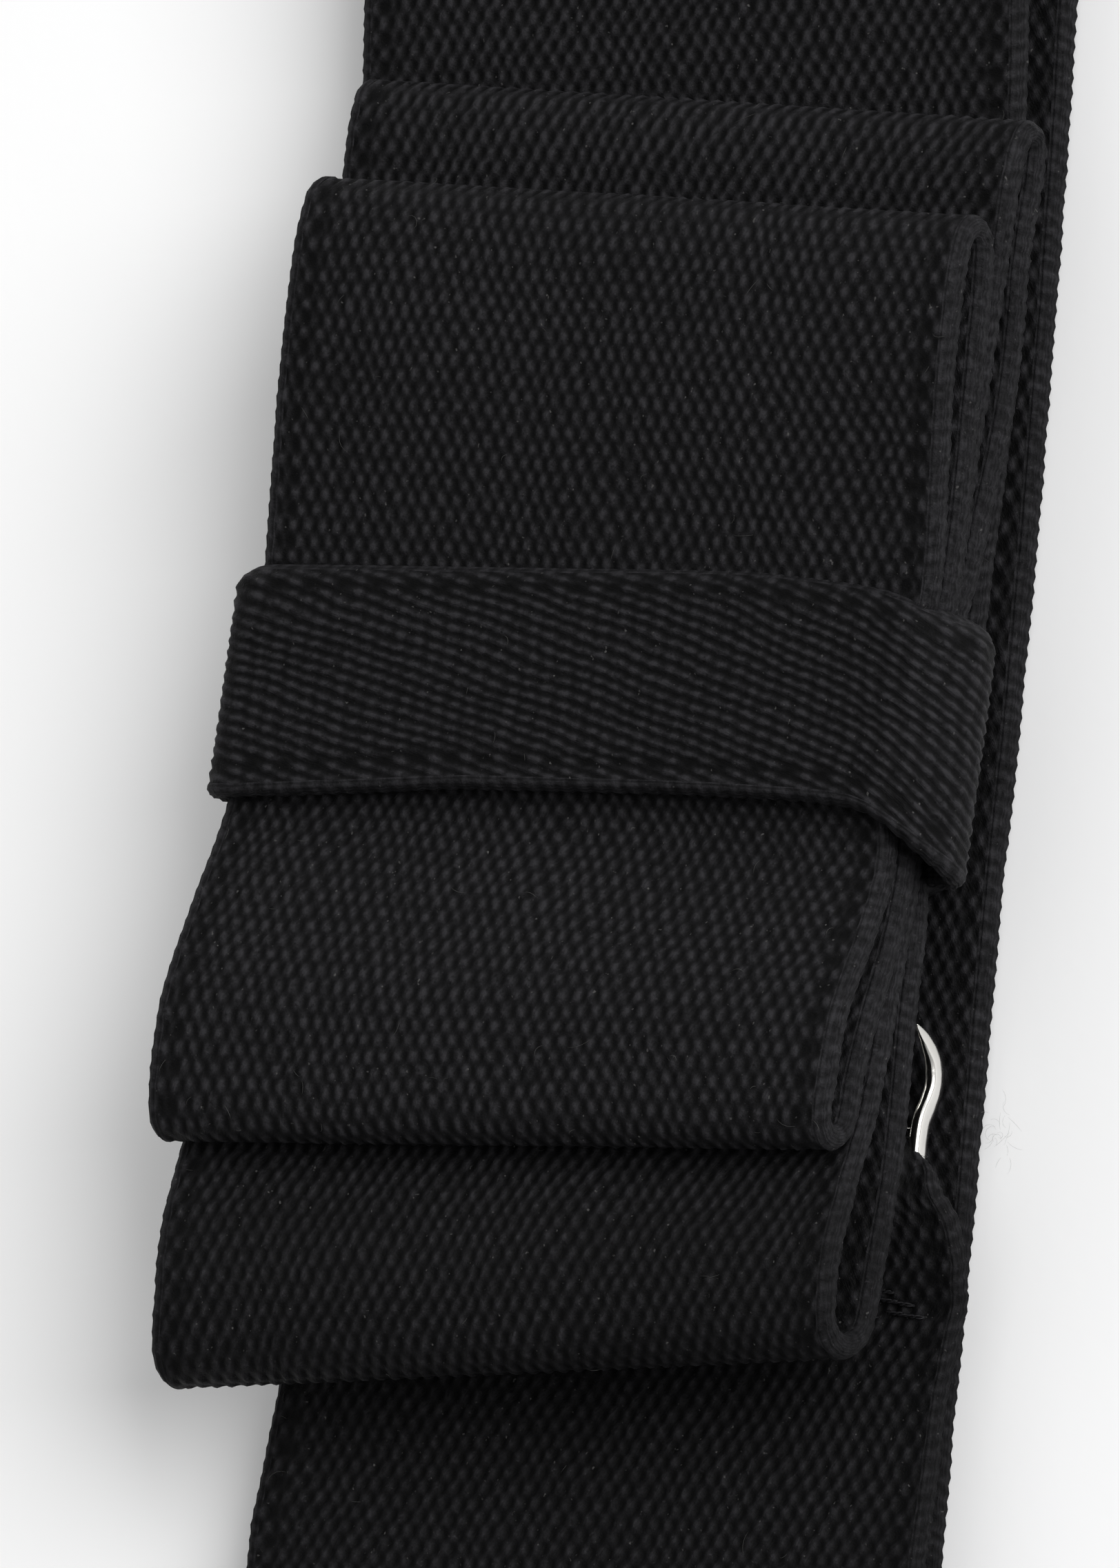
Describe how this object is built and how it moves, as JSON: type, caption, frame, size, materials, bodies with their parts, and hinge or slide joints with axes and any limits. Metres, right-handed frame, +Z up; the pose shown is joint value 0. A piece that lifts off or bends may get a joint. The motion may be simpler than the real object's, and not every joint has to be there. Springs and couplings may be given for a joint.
{
  "type": "ready-made bow tie",
  "caption": "Ready-made bow tie of black woven webbing: folded loops held by a centre wrap on an elastic neckband that closes with a metal hook and ring under the bow.",
  "frame": {"origin": "middle of the footprint, on the surface that the band's back layer lies on, under the bow's centre wrap", "axes": "+X along the band towards the end where the band opens, +Y across the webbing, +Z up out of the bow's front"},
  "size_m": [0.17, 0.0352, 0.0122],
  "materials": {
    "webbing": "woven black elastic webbing, soft sheen",
    "thread": "black sewing thread",
    "nickel": "bright nickel plate"
  },
  "bodies": {
    "band": {"neck_webbing": "webbing", "hook_end_strap": "webbing", "hook_end_bartack": "thread"},
    "far_end": {"far_end_fold": "webbing"},
    "bow": {"front_strap": "webbing", "ring_end_bartack": "thread", "lower_tier": "webbing", "lower_tier_seam": "thread", "upper_tier": "webbing", "upper_tier_seam": "thread", "centre_wrap": "webbing", "wrap_seam": "thread", "bow_tacks": "thread"},
    "hook": {"hook": "nickel"},
    "ring": {"ring": "nickel"}
  },
  "joints": [
    {"name": "band_opening", "type": "hinge", "parent": "band", "child": "bow", "pos_m": [0.0795, 0, 0.0085], "axis": [0, 1, 0], "range_deg": [0, 110]},
    {"name": "elastic_stretch", "type": "slide", "parent": "band", "child": "far_end", "axis": [-1, 0, 0], "range_m": [0, 0.04], "stiffness_N_per_m": 250},
    {"name": "hook_swivel", "type": "hinge", "parent": "band", "child": "hook", "pos_m": [-0.0181, -0.0004, 0.00295], "axis": [0, 1, 0], "range_deg": [0, 4]},
    {"name": "ring_swivel", "type": "hinge", "parent": "bow", "child": "ring", "pos_m": [-0.0085, 0, 0.0032], "axis": [0, 1, 0], "range_deg": [0, 6]}
  ]
}
